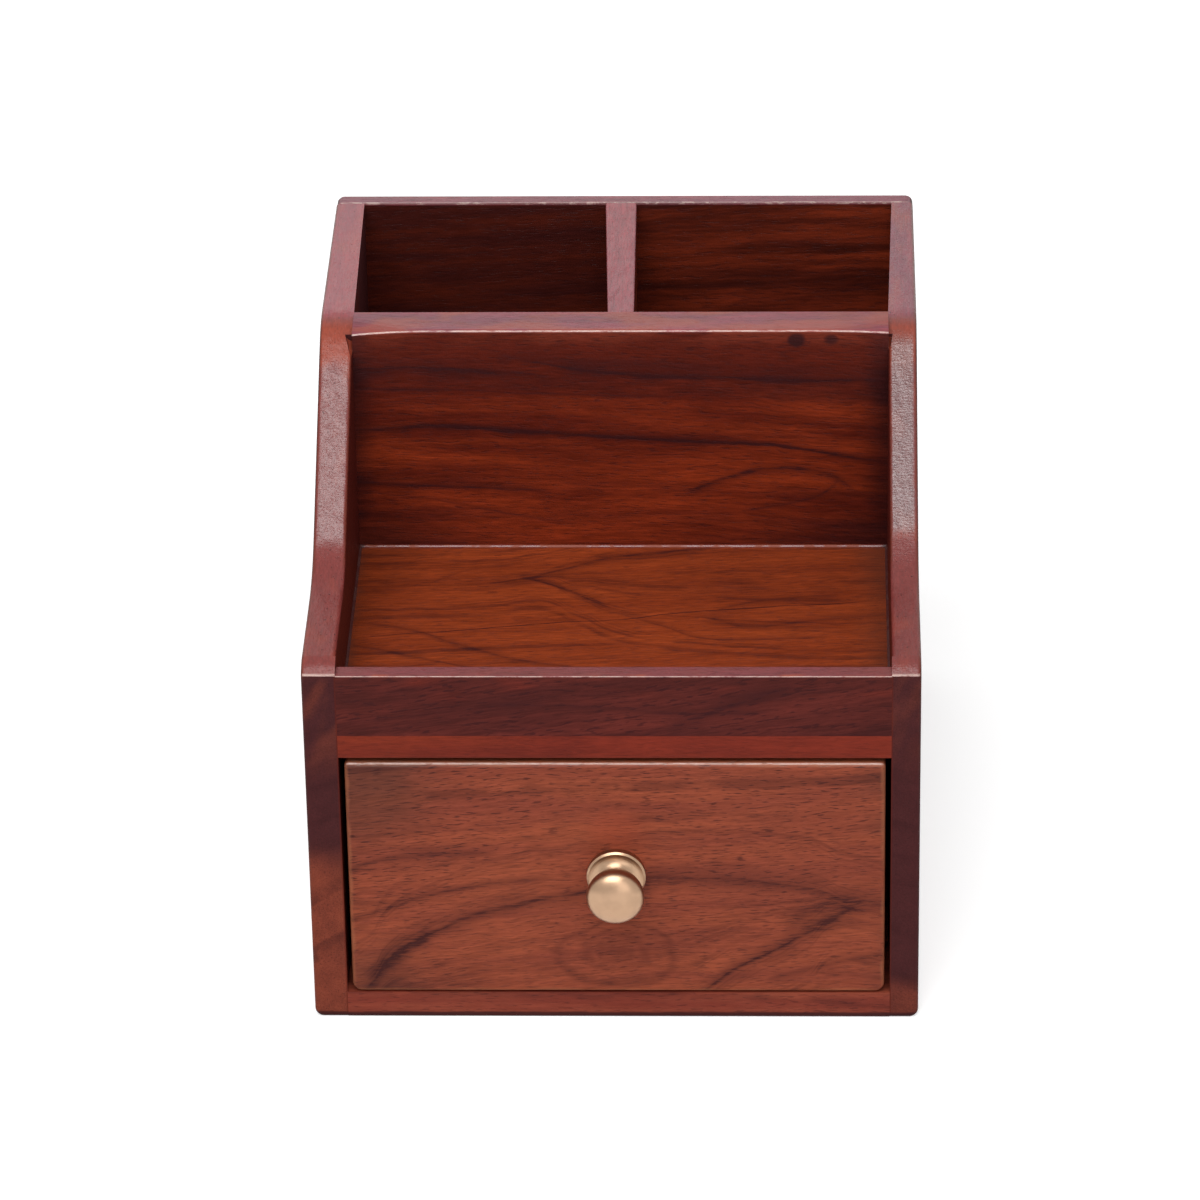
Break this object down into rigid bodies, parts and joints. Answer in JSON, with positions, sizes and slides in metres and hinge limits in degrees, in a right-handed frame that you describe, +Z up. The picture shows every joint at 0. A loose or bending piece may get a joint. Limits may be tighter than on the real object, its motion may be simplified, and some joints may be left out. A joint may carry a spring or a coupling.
{
  "type": "pen stand with drawer",
  "caption": "Wooden desk stand: open pen pockets at the back, a low tray with swept sides in front, and a drawer with a turned brass knob underneath.",
  "frame": {"origin": "centre of the case's footprint on the table", "axes": "+Z up; the drawer opens towards -Y, so +Y points to the back; +X to the right seen from the front"},
  "size_m": [0.152, 0.1888, 0.1453],
  "materials": {
    "side_wood": "glossy dark red-brown lacquer",
    "case_wood": "satin red-brown lacquer",
    "shelf_wood": "satin orange-brown lacquer",
    "pen_box_wood": "satin dark red-brown lacquer",
    "back_wood": "satin dark red-brown lacquer",
    "drawer_front_wood": "matte reddish-brown lacquer",
    "drawer_box_wood": "bare, lightly stained",
    "drawer_bottom_wood": "bare thin board",
    "knob_brass": "turned, lacquered",
    "zinc_steel": "bright zinc plate",
    "brad_steel": "plain wire",
    "pin_steel": "plain wire",
    "putty": "wood filler under lacquer"
  },
  "bodies": {
    "case": {"left_side": "side_wood", "right_side": "side_wood", "base_board": "case_wood", "shelf_board": "shelf_wood", "front_lip": "case_wood", "pen_box_front": "pen_box_wood", "pen_divider": "pen_box_wood", "back_panel": "back_wood", "left_side_brads": "brad_steel", "right_side_brads": "brad_steel", "left_side_plugs": "putty", "right_side_plugs": "putty", "back_panel_pins": "pin_steel", "shelf_brads": "brad_steel"},
    "drawer": {"drawer_front": "drawer_front_wood", "drawer_left_side": "drawer_box_wood", "drawer_right_side": "drawer_box_wood", "drawer_back": "drawer_box_wood", "drawer_bottom": "drawer_bottom_wood", "drawer_knob": "knob_brass", "knob_washer": "zinc_steel", "knob_screw": "zinc_steel", "drawer_left_brads": "brad_steel", "drawer_right_brads": "brad_steel", "drawer_bottom_brads": "brad_steel"}
  },
  "joints": [
    {"name": "drawer_slide", "type": "slide", "parent": "case", "child": "drawer", "axis": [0, -1, 0], "range_m": [0, 0.125]}
  ]
}
